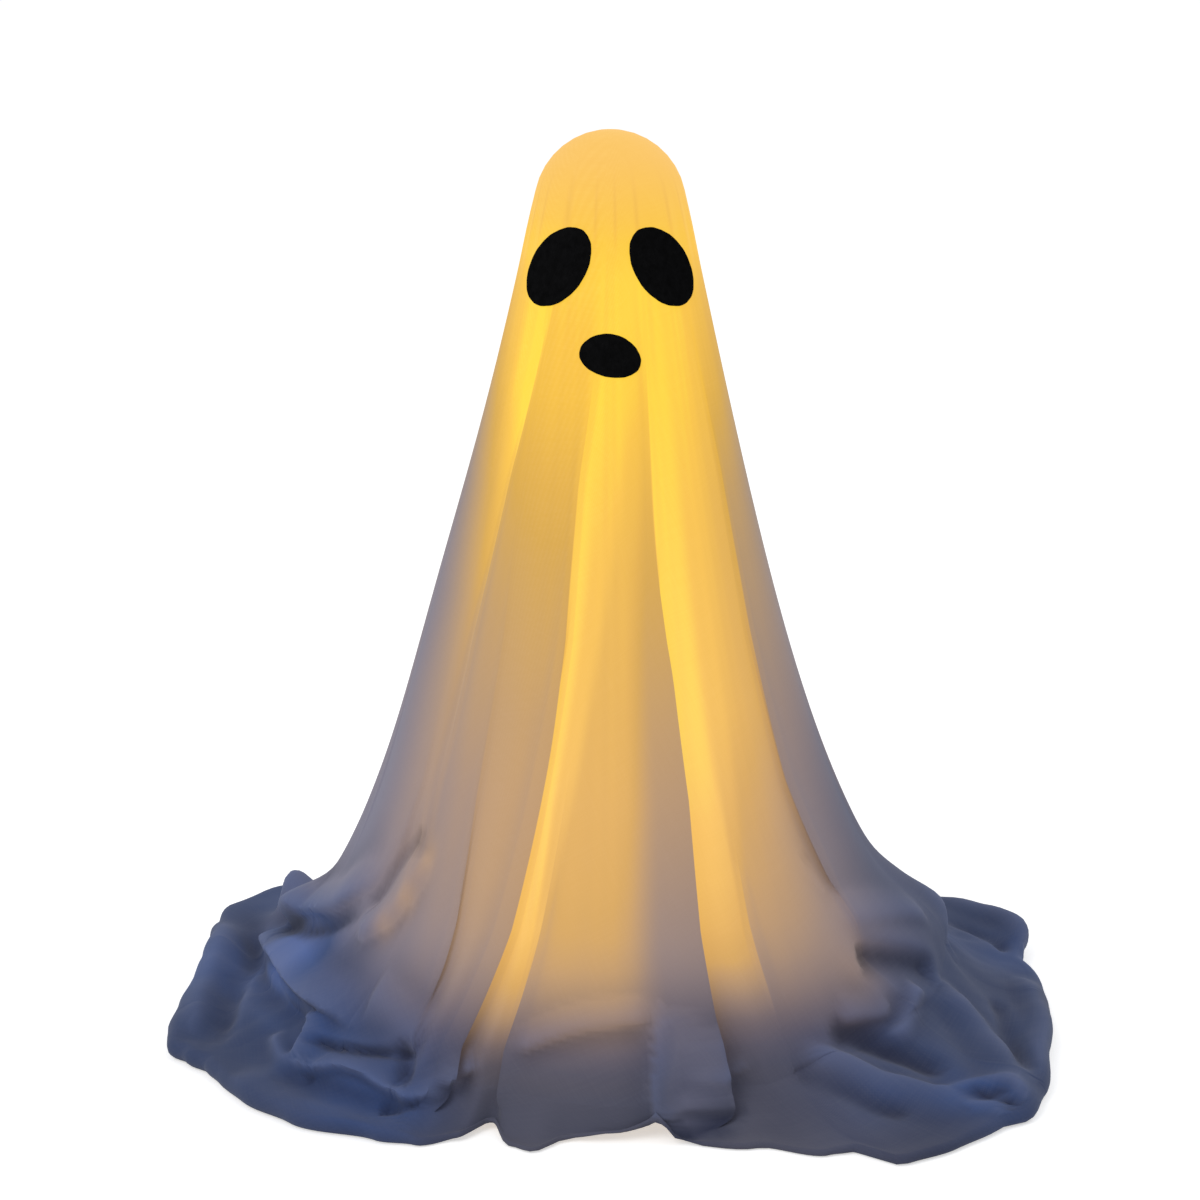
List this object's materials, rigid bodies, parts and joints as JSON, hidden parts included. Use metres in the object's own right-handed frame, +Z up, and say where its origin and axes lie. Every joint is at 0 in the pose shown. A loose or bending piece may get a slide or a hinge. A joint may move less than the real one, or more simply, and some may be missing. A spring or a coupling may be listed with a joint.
{
  "type": "lighted ghost decoration",
  "caption": "Free-standing lighted ghost: a sheer cloth with felt eyes and mouth, draped over a frosted lamp dome on a pole that stands on a battery base.",
  "frame": {"origin": "on the floor under the pole, in the middle of the foam pad's underside", "axes": "+Z up along the pole, -Y the way the face looks, +X to the right in the picture"},
  "size_m": [0.6077, 0.5285, 0.61],
  "materials": {
    "cloth": "sheer woven voile, lit warm from inside",
    "felt": "matt black felt",
    "frosted_dome": "frosted, lit",
    "white_plastic": "fine spark texture",
    "black_plastic": "satin",
    "pole_paint": "semi-gloss white",
    "screw_steel": "zinc plated",
    "contact_metal": "nickel plated",
    "board_white": "white solder mask",
    "board_green": "green solder mask",
    "led": "clear lens over phosphor, lit",
    "foam_pad": "closed-cell foam",
    "black_rubber": "soft matt",
    "cell_sleeve": "plain printed sleeve over a metal can",
    "red_wire": "satin insulation",
    "black_wire": "satin insulation"
  },
  "bodies": {
    "stand": {"dome_diffuser": "frosted_dome", "dome_screws": "screw_steel", "lamp_cup": "white_plastic", "cup_screw": "screw_steel", "wire_grommet": "black_rubber", "led_board": "board_white", "led_chips": "led", "board_screws": "screw_steel", "pole": "pole_paint", "pole_collar": "pole_paint", "pole_washer": "screw_steel", "pole_nut": "screw_steel", "base_shell": "white_plastic", "base_plate": "white_plastic", "base_screws": "screw_steel", "base_pad": "foam_pad", "battery_cells": "cell_sleeve", "contact_plates": "contact_metal", "contact_springs": "contact_metal", "switch_board": "board_green", "switch_body": "screw_steel", "switch_screws": "screw_steel", "red_lead": "red_wire", "black_lead": "black_wire", "link_lead": "red_wire"},
    "cover": {"cloth_cover": "cloth", "left_eye": "felt", "right_eye": "felt", "mouth": "felt"},
    "switch": {"switch_knob": "black_plastic"},
    "door": {"battery_door": "white_plastic"}
  },
  "joints": [
    {"name": "cover_lift", "type": "slide", "parent": "stand", "child": "cover", "axis": [0, 0, 1], "range_m": [0, 0.62]},
    {"name": "switch_slide", "type": "slide", "parent": "stand", "child": "switch", "axis": [1, 0, 0], "range_m": [-0.004, 0]},
    {"name": "door_slide", "type": "slide", "parent": "stand", "child": "door", "axis": [0, 1, 0], "range_m": [0, 0.055]}
  ]
}
